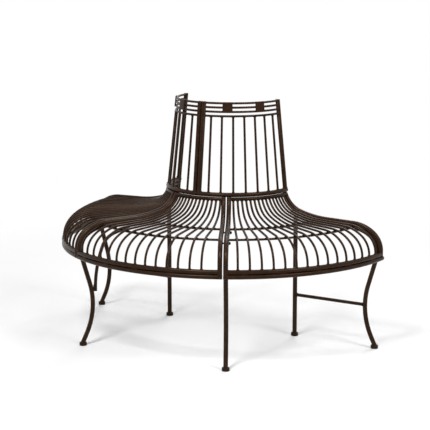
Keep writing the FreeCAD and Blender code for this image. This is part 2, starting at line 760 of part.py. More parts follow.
def seam_bolt(label, placement):
    """Hexagon bolt drawn with its head's inner face at its origin and its shank along +Z."""
    bolt = new_body(label, placement)
    head = new_sketch(bolt, label + "_head", "XY_Plane")
    polygon(head, "bolt_head_flats", 6)
    pad_sketch(bolt, head, "Sizes.bolt_head_height").Reversed = True
    shank = new_sketch(bolt, label + "_shank", "XY_Plane")
    polygon(shank, "bolt_diameter", BORE_SIDE_COUNT)
    pad_sketch(bolt, shank, "Sizes.seam_pitch + Sizes.tab_thickness / 2 + Sizes.leg_diameter / 2"
                            " + Sizes.nut_height + Sizes.bolt_end")
    return bolt


def seam_nut(label, placement):
    nut = new_body(label, placement)
    outline = new_sketch(nut, label + "_outline", "XY_Plane")
    polygon(outline, "nut_flats", 6)
    polygon(outline, "bolt_diameter", BORE_SIDE_COUNT, 0.0, "bolt_clearance")
    pad_sketch(nut, outline, "Sizes.nut_height")
    return nut


def seam_joint(side, which, angle, mirror):
    """Tab under the middle panel's rail, the bolt that runs from it across the seam and through
    the outer panel's leg tube, and its nut. Drawn with X along the rail."""
    hole, slope = bolt_place(which)
    middle = place(angle, hole, slope)
    label = "%s_%s" % (side, which)
    tab = seam_tab(label + "_tab", middle * shifted(-mirror * size("seam_pitch")))
    head_face = -mirror * (size("seam_pitch") + size("tab_thickness") / 2)
    bolt = seam_bolt(label + "_bolt", middle * shifted(head_face, -90 * mirror))
    nut = seam_nut(label + "_nut", middle * shifted(mirror * LEG / 2, -90 * mirror))
    return tab, bolt, nut


SIDE_SLATS = int(size("side_slat_count"))
MIDDLE_SLATS = int(size("middle_slat_count"))
ANGLE = size("panel_angle")
PITCH = size("slat_pitch")
SEAM = size("seam_pitch")
OVERHANG = size("rim_overhang")

seat_panel("right", 0.0, ANGLE, 0.0, 0.0, PITCH, SIDE_SLATS, (OVERHANG, 0.0))
seat_panel("middle", ANGLE, 2 * ANGLE, SEAM, SEAM, 1.5 * ANGLE - PITCH * (MIDDLE_SLATS - 1) / 2,
           MIDDLE_SLATS, (0.0, 0.0))
seat_panel("left", 2 * ANGLE, 3 * ANGLE, 0.0, 0.0, 2 * ANGLE + PITCH, SIDE_SLATS, (0.0, OVERHANG))

half_gap = size("double_upright_gap") / 2
centre_shift = TUBE / 2 + half_gap
back_panel("right", 0.0, 0.0, centre_shift, (0.0, 0.0))
back_panel("left", size("back_angle"), centre_shift, 0.0, (0.0, 0.0))

for name, angle in (("right", 0.0), ("left", 3 * ANGLE)):
    outer_leg(name + "_outer_leg", angle, False)
    inner_leg(name + "_inner_leg", angle)
    stretcher(name + "_stretcher", angle)
for name, angle in (("front_right", ANGLE), ("front_left", 2 * ANGLE)):
    outer_leg(name + "_leg", angle, True)
    brace(name + "_brace", angle)
feet("outer_feet", leg_radius_at(size("foot_height")), ANGLE, 4)
feet("inner_feet", INNER_LEG_RADIUS, 3 * ANGLE, 2)

tabs, bolts, nuts = [], [], []
for side, angle, mirror in (("right", ANGLE, 1), ("left", 2 * ANGLE, -1)):
    for which in HOOP_RADII:
        tab, bolt, nut = seam_joint(side, which, angle, mirror)
        tabs.append(tab)
        bolts.append(bolt)
        nuts.append(nut)
group("seam_tabs", tabs)
group("seam_bolts", bolts)
group("seam_nuts", nuts)

doc.recompute()
groups = [item for item in doc.Objects if item.isDerivedFrom("Part::Compound")]
grouped = [member for item in groups for member in item.Links]
bodies = [item for item in doc.Objects if item.isDerivedFrom("PartDesign::Body")]
pieces = [item for item in bodies if item not in grouped] + groups
failed = [item.Label for item in doc.Objects if "Invalid" in item.State or "Error" in item.State]
failed += [item.Label for item in pieces if item.Shape.isNull() or not item.Shape.isValid()]
if failed:
    raise RuntimeError("failed: " + ", ".join(failed))
os.makedirs("parts", exist_ok=True)
for item in pieces:
    item.Shape.exportStep(os.path.join("parts", item.Label + ".step"))
    box = item.Shape.BoundBox
    print(item.Label, len(item.Shape.Solids), "solids", round(item.Shape.Volume / 1000, 1), "cm3",
          [round(v, 1) for v in (box.XMin, box.XMax, box.YMin, box.YMax, box.ZMin, box.ZMax)])
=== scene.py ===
"""Half-round tree bench of welded round tube and rod, powder coated dark brown.

The bench stands round the upright axis of a tree. A plan angle runs from the bench's right end
(0) past the front (90 degrees) to its left end (180 degrees). All lengths are in metres.
"""

import logging
import math
from dataclasses import dataclass, field, replace
from enum import Enum

import bmesh
import bpy
import numpy as np
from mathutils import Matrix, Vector

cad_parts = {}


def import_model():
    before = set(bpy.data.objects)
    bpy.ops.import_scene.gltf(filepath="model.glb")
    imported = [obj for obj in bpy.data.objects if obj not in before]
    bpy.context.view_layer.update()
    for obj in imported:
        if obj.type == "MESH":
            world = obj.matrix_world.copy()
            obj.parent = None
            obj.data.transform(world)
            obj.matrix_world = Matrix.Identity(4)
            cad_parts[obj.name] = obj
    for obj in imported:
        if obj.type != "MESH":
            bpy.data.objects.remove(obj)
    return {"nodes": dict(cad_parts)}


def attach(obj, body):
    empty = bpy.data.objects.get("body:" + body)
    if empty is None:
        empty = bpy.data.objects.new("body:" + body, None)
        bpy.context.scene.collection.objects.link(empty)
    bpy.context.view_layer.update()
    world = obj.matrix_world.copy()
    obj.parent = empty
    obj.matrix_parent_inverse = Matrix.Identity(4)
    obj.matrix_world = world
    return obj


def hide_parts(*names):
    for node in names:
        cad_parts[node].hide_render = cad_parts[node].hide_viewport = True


log = logging.getLogger("tree_bench")

AXIS_Y = 0.30125
ROOT = "root"
UP = np.array([0.0, 0.0, 1.0])
ROD_SIDES = 16


class Slot(Enum):
    """The record's material slots."""

    COAT = "frame_coat"
    FOOT = "foot_cap"
    FASTENER = "fastener"


class Side(Enum):
    """Where a seat panel or a half of the back stands, as seen from the front."""

    RIGHT = "right"
    MIDDLE = "middle"
    LEFT = "left"


# Geometry helpers


def circle(sides: int) -> np.ndarray:
    """Level circle of radius 1: cosine, sine and zero of evenly spaced angles."""
    around = np.arange(sides) * 2 * math.pi / sides
    return np.stack([np.cos(around), np.sin(around), np.zeros(sides)], 1)


def turning(angle: float) -> np.ndarray:
    """Matrix, 3 by 3, that turns plan angle 0 to another plan angle in degrees."""
    c, s = math.cos(math.radians(angle)), -math.sin(math.radians(angle))
    return np.array([[c, -s, 0.0], [s, c, 0.0], [0.0, 0.0, 1.0]])


def turned_points(points: np.ndarray, angle: float, shift: float = 0.0) -> np.ndarray:
    """Moves points drawn at plan angle 0 about the tree's axis to another plan angle.

    Args:
        points: The points.
        angle: Plan angle in degrees.
        shift: Sideways move before the turn.

    Returns:
        The points in the bench's frame.
    """
    moved = (points + np.array([0.0, shift, 0.0])) @ turning(angle).T
    moved[:, 1] += AXIS_Y
    return moved


@dataclass(frozen=True)
class Line:
    """A planar centreline: points, unit tangents, the plane's normal and its ends' cut planes.

    A cut plane is given by its normal; none means a cut square to the line.
    """

    points: np.ndarray
    tangents: np.ndarray
    normal: np.ndarray
    cuts: tuple = (None, None)

    def turned(self, angle: float, shift: float = 0.0) -> "Line":
        """Moves a line drawn at plan angle 0 to another plan angle.

        Args:
            angle: Plan angle in degrees.
            shift: Sideways move, square to the plane, before the turn.

        Returns:
            The line in the bench's frame.
        """
        turn = turning(angle)
        cuts = tuple(None if cut is None else turn @ cut for cut in self.cuts)
        return Line(turned_points(self.points, angle, shift), self.tangents @ turn.T,
                    turn @ self.normal, cuts)

    def until(self, radius: float) -> "Line":
        """Ends a line that runs towards the tree where it reaches a radius.

        Args:
            radius: The end's radius.

        Returns:
            The shorter line.
        """
        x = self.points[:, 0]
        last = int(np.argmax(x < radius))
        share = (x[last - 1] - radius) / (x[last - 1] - x[last])
        end = self.points[last - 1] + share * (self.points[last] - self.points[last - 1])
        return replace(self, points=np.vstack([self.points[:last], end]),
                       tangents=self.tangents[:last + 1])


def upright_chain(start: tuple, heading: float, steps: list, pitch: float = 0.0035,
                  long_pitch: float = 0.02) -> Line:
    """Centreline in the upright plane at plan angle 0, of straights and tangent arcs.

    An arc of radius r that starts at heading h has its centre r to its left or right, and its
    points are the centre plus r times the heading's normal as the heading turns by the sweep.

    Args:
        start: Radius and height of the first point.
        heading: First direction in degrees, 0 outwards and 90 upwards.
        steps: Straight lengths, or tuples of radius, sweep in degrees and side (1 left, -1 right).
        pitch: Distance between points on an arc.
        long_pitch: Distance between points on a straight.

    Returns:
        The line, with a point at each end of each straight.
    """
    places = [np.array([start], float)]
    headings = [np.array([heading], float)]
    for step in steps:
        last, turned = places[-1][-1], headings[-1][-1]
        if isinstance(step, tuple):
            radius, sweep, side = step
            count = max(4, int(radius * math.radians(sweep) / pitch))
            around = np.radians(turned + side * sweep * np.arange(1, count + 1) / count)
            first = math.radians(turned)
            out = np.stack([np.sin(around) - math.sin(first), math.cos(first) - np.cos(around)], 1)
            places.append(last + side * radius * out)
            headings.append(np.degrees(around))
        else:
            way = np.array([math.cos(math.radians(turned)), math.sin(math.radians(turned))])
            shares = np.linspace(0.0, 1.0, max(2, int(step / long_pitch)) + 1)[1:, None]
            places.append(last + shares * step * way)
            headings.append(np.full(len(shares), turned))
    flat = np.concatenate(places)
    ways = np.radians(np.concatenate(headings))
    zero = np.zeros(len(flat))
    return Line(np.stack([flat[:, 0], zero, flat[:, 1]], 1),
                np.stack([np.cos(ways), zero, np.sin(ways)], 1), np.array([0.0, 1.0, 0.0]))


def level_arc(radius: float, height: float, first: float, last: float, step: float = 0.9) -> Line:
    """Level arc about the tree's axis: radius times cosine and sine of the plan angle.

    Args:
        radius: Radius of the arc.
        height: Height of the arc.
        first: First plan angle in degrees.
        last: Last plan angle in degrees.
        step: Angle between points in degrees.

    Returns:
        The line in the bench's frame.
    """
    angles = np.radians(np.linspace(first, last, max(3, int((last - first) / step)) + 1))
    points = np.stack([radius * np.cos(angles), AXIS_Y - radius * np.sin(angles),
                       np.full(len(angles), height)], 1)
    tangents = np.stack([-np.sin(angles), -np.cos(angles), np.zeros(len(angles))], 1)
    return Line(points, tangents, UP)


def straight(first: tuple, last: tuple) -> Line:
    """Straight line between two points given by radius, sideways place and height.

    Args:
        first: The first point.
        last: The last point.

    Returns:
        The line before its turn to a plan angle.
    """
    a, b = np.array(first, float), np.array(last, float)
    way = (b - a) / np.linalg.norm(b - a)
    normal = np.cross(way, UP) if abs(way[2]) < 0.9 else np.array([0.0, 1.0, 0.0])
    return Line(np.stack([a, b]), np.stack([way, way]), normal / np.linalg.norm(normal))


def saddle_joint(radius: float, height: float, diameter: float, way: int, up: int) -> Line:
    """Half of the joint between a level tube and an upright one of the same diameter.

    The joint lies in a plane at 45 degrees: the point at an angle round the level tube is as far
    from the upright's axis along the tube as it is above or below the level tube's axis. The
    line leaves out the first and last 40 degrees, where the two halves meet.

    Args:
        radius: Radius at which both tubes stand.
        height: Height of the level tube's axis.
        diameter: Diameter of the tubes.
        way: 1 or -1, the sideways direction in which the joint lies.
        up: 1 for the upper half, -1 for the lower.

    Returns:
        The line before its turn to a plan angle.
    """
    around = np.radians(np.linspace(40.0, 140.0, 17))
    half = diameter / 2
    away = half * np.sin(around)
    points = np.stack([radius + half * np.cos(around), way * away, height + up * away], 1)
    tangents = np.stack([-np.sin(around), way * np.cos(around), up * np.cos(around)], 1)
    tangents /= np.linalg.norm(tangents, axis=1)[:, None]
    return Line(points, tangents, np.array([0.0, -way * up, 1.0]) / math.sqrt(2.0))


def degrees_for(distance: float, radius: float) -> float:
    """Plan angle in degrees that a sideways distance takes up at a radius."""
    return math.degrees(math.asin(distance / radius))


@dataclass(frozen=True)
class Surface:
    """Vertices and faces of one closed solid."""

    vertices: np.ndarray
    faces: list


def stacked_rings(rings: np.ndarray) -> Surface:
    """Closed solid over rings of equal numbers of points, with a fan over each end.

    Args:
        rings: The rings' points, one ring after another along the first axis.

    Returns:
        The closed surface.
    """
    rows, sides = rings.shape[:2]
    ends = np.stack([rings[0].mean(0), rings[-1].mean(0)])
    row = np.arange(rows - 1)[:, None] * sides
    column = np.arange(sides)[None, :]
    following = (column + 1) % sides
    quads = np.stack([row + column, row + following, row + sides + following,
                      row + sides + column], -1).reshape(-1, 4)
    base = (rows - 1) * sides
    low = np.stack([np.full(sides, rows * sides), following[0], column[0]], -1)
    high = np.stack([np.full(sides, rows * sides + 1), base + column[0], base + following[0]], -1)
    return Surface(np.concatenate([rings.reshape(-1, 3), ends]),
                   quads.tolist() + low.tolist() + high.tolist())


def carried_circle(line: Line, radii: np.ndarray, sides: int) -> Surface:
    """Circle carried along a centreline.

    A ring is the point plus its radius times the cosine of the angle about it along the plane's
    normal and the sine along the normal crossed with the tangent. A cut end keeps its ring in
    the cut's plane by sliding each vertex along the tangent.

    Args:
        line: The centreline.
        radii: Radius at each point.
        sides: Number of vertices in a ring.

    Returns:
        The closed surface.
    """
    flat = circle(sides)[None]
    across = np.cross(line.tangents, line.normal)
    ring = flat[..., :1] * line.normal + flat[..., 1:2] * across[:, None, :]
    rings = line.points[:, None, :] + radii[:, None, None] * ring
    for end, cut in ((0, line.cuts[0]), (len(rings) - 1, line.cuts[1])):
        if cut is not None:
            way = line.tangents[end]
            slide = ((line.points[end] - rings[end]) @ cut) / (way @ cut)
            rings[end] += slide[:, None] * way[None, :]
    return stacked_rings(rings)


def round_bar(line: Line, diameter: float, sides: int = 24, eased: tuple = (False, False),
              edge: float = 0.0008) -> Surface:
    """Round bar along a centreline, its free ends with a slightly eased rim.

    Args:
        line: The centreline.
        diameter: Diameter of the bar.
        sides: Number of sides.
        eased: Whether each end has an eased rim.
        edge: Width of the eased rim.

    Returns:
        The closed surface.
    """
    points, tangents = list(line.points), list(line.tangents)
    radii = [diameter / 2] * len(points)
    if eased[0]:
        points.insert(1, points[0] + edge * tangents[0])
        tangents.insert(1, tangents[0])
        radii.insert(0, diameter / 2 - edge)
    if eased[1]:
        points.insert(-1, points[-1] - edge * tangents[-1])
        tangents.append(tangents[-1])
        radii.append(diameter / 2 - edge)
    whole = replace(line, points=np.array(points), tangents=np.array(tangents))
    return carried_circle(whole, np.array(radii), sides)


def weld_bead(line: Line, radius: float, seed: int, ripple: float = 0.12, rate: float = 2.1,
              steepness: float = 8.0) -> Surface:
    """Weld bead laid along a joint: a bar whose radius ripples and dies away at its ends.

    The radius is multiplied by one plus a small sine of the place along the bead, and at each
    end by the square root of the sine of the way in.

    Args:
        line: Where the joint runs.
        radius: Radius of the bead.
        seed: Sets the ripple's phase.
        ripple: The ripple's height as a share of the radius.
        rate: How far the ripple turns from point to point, in radians.
        steepness: How many times the taper at an end fits into the bead's length.

    Returns:
        The closed surface.
    """
    share = np.linspace(0.0, 1.0, len(line.points))
    wave = 1 + ripple * np.sin(share * rate * len(line.points) + seed)
    inwards = np.clip(np.minimum(share, 1 - share) * steepness, 0.02, 1.0)
    return carried_circle(line, radius * wave * np.sqrt(np.sin(inwards * math.pi / 2)), 8)


def weld_collar(line: Line, end: int, radius: float, spread: float, seed: int) -> Surface:
    """Weld bead round a bar's end: a flared ring whose width wavers round the bar.

    The bead's outline falls from the bar's side to its spread on the piece below, bulging as a
    quarter circle. The waver is a sum of two sines of the angle.

    Args:
        line: The bar's centreline.
        end: 0 for its first end, -1 for its last.
        radius: Radius of the bar.
        spread: How far the bead reaches out and climbs.
        seed: Sets the waver's phase.

    Returns:
        The closed surface.
    """
    sides = 14
    way = line.tangents[end] * (1 if end == 0 else -1)
    around = np.arange(sides) * 2 * math.pi / sides
    waver = 1 + 0.16 * np.sin(3 * around + seed) + 0.1 * np.sin(5 * around + 2.3 * seed)
    flat = circle(sides)
    ring = flat[:, :1] * line.normal + flat[:, 1:2] * np.cross(way, line.normal)
    outline = np.array([(0.9, -0.3), (1.0, 0.1), (0.75, 0.5), (0.42, 0.9), (0.1, 1.25), (-0.5, 1.3)])
    out = radius + outline[:, :1] * spread * waver[None, :]
    along = outline[:, 1] * spread
    rings = line.points[end] + out[:, :, None] * ring[None] + along[:, None, None] * way
    return stacked_rings(rings)


def add_piece(name: str, surfaces: list, material: bpy.types.Material,
              nodes: tuple = (), smooth: float = 60.0) -> None:
    """Joins surfaces into one mesh object that rides on the bench.

    Args:
        name: The piece's name.
        surfaces: Its closed surfaces.
        material: Its finish.
        nodes: The frame's nodes that it stands for.
        smooth: Edges sharper than this angle, in degrees, stay sharp.
    """
    counts = np.cumsum([0] + [len(s.vertices) for s in surfaces])
    vertices = np.concatenate([s.vertices for s in surfaces])
    faces = [[index + int(base) for index in face]
             for s, base in zip(surfaces, counts) for face in s.faces]
    mesh = bpy.data.meshes.new(name)
    mesh.from_pydata(vertices.tolist(), [], faces)
    work = bmesh.new()
    work.from_mesh(mesh)
    bmesh.ops.recalc_face_normals(work, faces=work.faces)
    work.to_mesh(mesh)
    work.free()
    mesh.materials.append(material)
    mesh.polygons.foreach_set("use_smooth", np.ones(len(mesh.polygons), bool))
    mesh.set_sharp_from_angle(angle=math.radians(smooth))
    piece = bpy.data.objects.new(name, mesh)
    bpy.context.scene.collection.objects.link(piece)
    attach(piece, ROOT)
    if nodes:
        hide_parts(*nodes)
    log.info("%s: %d faces", name, len(mesh.polygons))


# Finishes


def add_node(tree: bpy.types.NodeTree, kind: str, values: dict | None = None,
             **settings: str) -> bpy.types.Node:
    """Adds a shader node.

    Args:
        tree: The tree that gets it.
        kind: Its type, without the leading ShaderNode.
        values: Values of its inputs by name.
        settings: The node's own settings, such as an operation.

    Returns:
        The node.
    """
    node = tree.nodes.new("ShaderNode" + kind)
    for name, value in settings.items():
        setattr(node, name, value)
    for name, value in (values or {}).items():
        node.inputs[name].default_value = value
    return node


def flaw_group() -> bpy.types.NodeTree:
    """Node group of the coat's faint flaws, shared by the finishes.

    Returns:
        The group: a scale in; a cloudy mask and the height of a finer orange peel out.
    """
    group = bpy.data.node_groups.new("coat_flaws", "ShaderNodeTree")
    for name, way in (("Scale", "INPUT"), ("Mask", "OUTPUT"), ("Height", "OUTPUT")):
        group.interface.new_socket(name, in_out=way, socket_type="NodeSocketFloat")
    links = group.links
    entry, leave = group.nodes.new("NodeGroupInput"), group.nodes.new("NodeGroupOutput")
    place = add_node(group, "TexCoord")
    cloud = add_node(group, "TexNoise", {"Detail": 4.0, "Roughness": 0.6})
    peel = add_node(group, "TexNoise", {"Detail": 2.0})
    finer = add_node(group, "Math", {1: 9.0}, operation="MULTIPLY")
    links.new(entry.outputs["Scale"], cloud.inputs["Scale"])
    links.new(entry.outputs["Scale"], finer.inputs[0])
    links.new(finer.outputs[0], peel.inputs["Scale"])
    for noise, socket in ((cloud, "Mask"), (peel, "Height")):
        links.new(place.outputs["Object"], noise.inputs["Vector"])
        links.new(noise.outputs["Fac"], leave.inputs[socket])
    return group


@dataclass(frozen=True)
class Finish:
    """A coat: two colours that mingle over a range of the cloud, gloss, and its orange peel."""

    name: str
    dark: tuple
    light: tuple
    roughness: tuple
    metallic: float = 0.0
    specular: float = 0.16
    sheen: tuple = (1.0, 0.7, 0.5)
    scale: float = 42.0
    peel: float = 0.00012
    peel_strength: float = 0.5
    cloud_range: tuple = (0.36, 0.66)

    def material(self, flaws: bpy.types.NodeTree) -> bpy.types.Material:
        """Builds the finish's material.

        Args:
            flaws: The shared group of flaws.

        Returns:
            The material.
        """
        material = bpy.data.materials.new(self.name)
        material.use_nodes = True
        tree = material.node_tree
        shader = tree.nodes["Principled BSDF"]
        shader.inputs["Metallic"].default_value = self.metallic
        shader.inputs["Specular IOR Level"].default_value = self.specular
        shader.inputs["Specular Tint"].default_value = (*self.sheen, 1.0)
        effect = tree.nodes.new("ShaderNodeGroup")
        effect.node_tree = flaws
        effect.inputs["Scale"].default_value = self.scale
        tint = add_node(tree, "ValToRGB")
        stops = zip(tint.color_ramp.elements, self.cloud_range, (self.dark, self.light))
        for stop, position, colour in stops:
            stop.position = position
            stop.color = (*colour, 1.0)
        low, high = self.roughness
        gloss = add_node(tree, "MapRange", {"To Min": low, "To Max": high})
        bump = add_node(tree, "Bump", {"Distance": self.peel, "Strength": self.peel_strength})
        tree.links.new(effect.outputs["Mask"], tint.inputs["Fac"])
        tree.links.new(effect.outputs["Mask"], gloss.inputs["Value"])
        tree.links.new(effect.outputs["Height"], bump.inputs["Height"])
        tree.links.new(tint.outputs["Color"], shader.inputs["Base Color"])
        tree.links.new(gloss.outputs["Result"], shader.inputs["Roughness"])
        tree.links.new(bump.outputs["Normal"], shader.inputs["Normal"])
        return material


@dataclass
class Finishes:
    """The bench's three finishes."""

    coat: bpy.types.Material = field(init=False)
    foot: bpy.types.Material = field(init=False)
    fastener: bpy.types.Material = field(init=False)

    def __post_init__(self) -> None:
        """Builds the materials round one shared group."""
        flaws = flaw_group()
        self.coat = Finish("brown_powder_coat", (0.0145, 0.0064, 0.0033), (0.026, 0.0124, 0.0066),
                           (0.26, 0.36)).material(flaws)
        self.foot = Finish("foot_cap_plastic", (0.012, 0.007, 0.0045), (0.022, 0.0135, 0.009),
                           (0.5, 0.65), scale=60.0).material(flaws)
        self.fastener = Finish("darkened_zinc", (0.020, 0.017, 0.014), (0.050, 0.043, 0.036),
                               (0.35, 0.5), metallic=1.0, scale=90.0).material(flaws)


# The bench


@dataclass(frozen=True)
class Stock:
    """Diameters of the round stock."""

    tube: float = 0.016
    leg: float = 0.016
    seat_back: float = 0.0126
    stretcher: float = 0.012
    brace: float = 0.012
    rod: float = 0.008


@dataclass(frozen=True)
class Welds:
    """Radii of the beads along joints, spreads of the collars at bars' ends.

    Beads beside the line where two equal tubes touch lie a distance off their middle plane.
    """

    rail_on_rim: float = 0.0015
    rim_on_rim: float = 0.0022
    rail_on_leg: float = 0.0021
    beside: float = 0.0026
    slat_on_hoop: float = 0.0016
    brace_foot: float = 0.0018
    hoop_end: float = 0.0018
    slat_end: float = 0.0017
    upright_foot: float = 0.002
    crown_end: float = 0.0013
    crown_top_end: float = 0.0004
    bar_end: float = 0.0016
    stretcher_end: float = 0.002


@dataclass(frozen=True)
class SeatSection:
    """The seat's section, from the rim up over the nose and across the dish to the back rail.

    Nose, brow, dish and heel are arcs of a radius and a sweep in degrees that turn left (1) or
    right (-1), seen with the tree on the left.
    """

    rim_radius: float = 0.6075
    rim_height: float = 0.3225
    end_radius: float = 0.2296
    end_height: float = 0.5125
    nose: tuple = (0.0768, 52.5, 1)
    brow: tuple = (0.1313, 36.0, 1)
    dish: tuple = (0.3936, 16.3, -1)
    heel: tuple = (0.0937, 48.2, -1)
    tail: float = 0.004
    back_height: float = 0.5139
    hoops: tuple = (0.365, 0.514)
    stock: Stock = field(default_factory=Stock)

    @property
    def rim_top(self) -> float:
        """Height of the lower rim tube's crest."""
        return self.rim_height + self.stock.tube / 2

    def steps(self, below: float = 0.0, top: float | None = None) -> list:
        """Steps of the section's centreline, or of a line below it, from the lower rim's crest.

        The rise off the rim and the flat between brow and dish take up what is left over.

        Args:
            below: Distance of the line below the centreline.
            top: Height of its upper end, or none for the section's end.

        Returns:
            The steps.
        """
        arcs = [self.nose, self.brow, self.dish, self.heel]
        loose = upright_chain((self.rim_radius, self.rim_top), 90.0, arcs + [self.tail])
        turn = math.radians(90.0 + self.nose[1] + self.brow[1])
        end = loose.points[-1]
        flat = (self.end_radius - end[0]) / math.cos(turn)
        rise = self.end_height - end[2] - flat * math.sin(turn)
        last = turn - math.radians(self.dish[1] + self.heel[1])
        tail = self.tail + ((top or self.end_height) - self.end_height) / math.sin(last)
        nose, brow, dish, heel = [(arc[0] - arc[2] * below, *arc[1:]) for arc in arcs]
        return [rise, nose, brow, flat, dish, heel, tail]

    def line(self, start: float, top: float) -> Line:
        """Centreline between a level cut on the rim and one under the back rail.

        Args:
            start: Height of the lower cut.
            top: Height of the upper cut.

        Returns:
            The line at plan angle 0.
        """
        rise, *others = self.steps(top=top)
        whole = upright_chain((self.rim_radius, start), 90.0,
                              [rise + self.rim_top - start, *others])
        return replace(whole, cuts=(UP, UP))

    def at(self, radius: float, clear: float = 0.08, near: float = 0.003) -> tuple:
        """Height and slope of the seat's centreline at a radius.

        Args:
            radius: Radius from the tree's axis.
            clear: Height above the rim from which the line runs steadily towards the tree.
            near: Distance to each side over which the slope is taken.

        Returns:
            Height, and the slope's angle in degrees.
        """
        line = self.line(self.rim_top, self.end_height)
        keep = line.points[:, 2] > self.rim_height + clear
        x, z = line.points[keep, 0][::-1], line.points[keep, 2][::-1]
        low, height, high = np.interp([radius + near, radius, radius - near], x, z)
        return float(height), math.degrees(math.atan((high - low) / (2 * near)))


@dataclass(kw_only=True)
class WeldedFrame:
    """What the bench's welded frames share: coat, stock, welds and the naming of pieces."""

    coat: bpy.types.Material
    side: Side | None = None
    stock: Stock = field(default_factory=Stock)
    welds: Welds = field(default_factory=Welds)

    def put(self, what: str, surfaces: list, stands_for: bool = True,
            smooth: float = 60.0) -> None:
        """Adds a coated piece.

        Args:
            what: The piece's name, after the frame's side.
            surfaces: Its closed surfaces.
            stands_for: Whether it stands for the node of that name, or is shown beside it.
            smooth: Edges sharper than this angle, in degrees, stay sharp.
        """
        node = f"{self.side.value}_{what}" if self.side else what
        add_piece(node + "_finished", surfaces, self.coat,
                  (node,) if stands_for else (), smooth)


@dataclass(kw_only=True)
class Sector(WeldedFrame):
    """A frame between two plan angles, its sides shifted inwards from those planes."""

    first: float
    last: float
    shifts: tuple = (0.0, 0.0)

    def sides(self) -> tuple:
        """Each side's name, plan angle, sideways place, and sideways direction to the middle."""
        return (("right", self.first, -self.shifts[0], -1), ("left", self.last, self.shifts[1], 1))

    def reach(self, distance: float, radius: float, more: tuple = (0.0, 0.0)) -> tuple:
        """Plan angles between the frame's two sides.

        Args:
            distance: How far inside the sides' middle planes the ends lie.
            radius: Radius at which that is measured.
            more: How far the first and the last end reach out beyond that.

        Returns:
            First and last plan angle.
        """
        return (self.first + degrees_for(self.shifts[0] + distance - more[0], radius),
                self.last - degrees_for(self.shifts[1] + distance - more[1], radius))


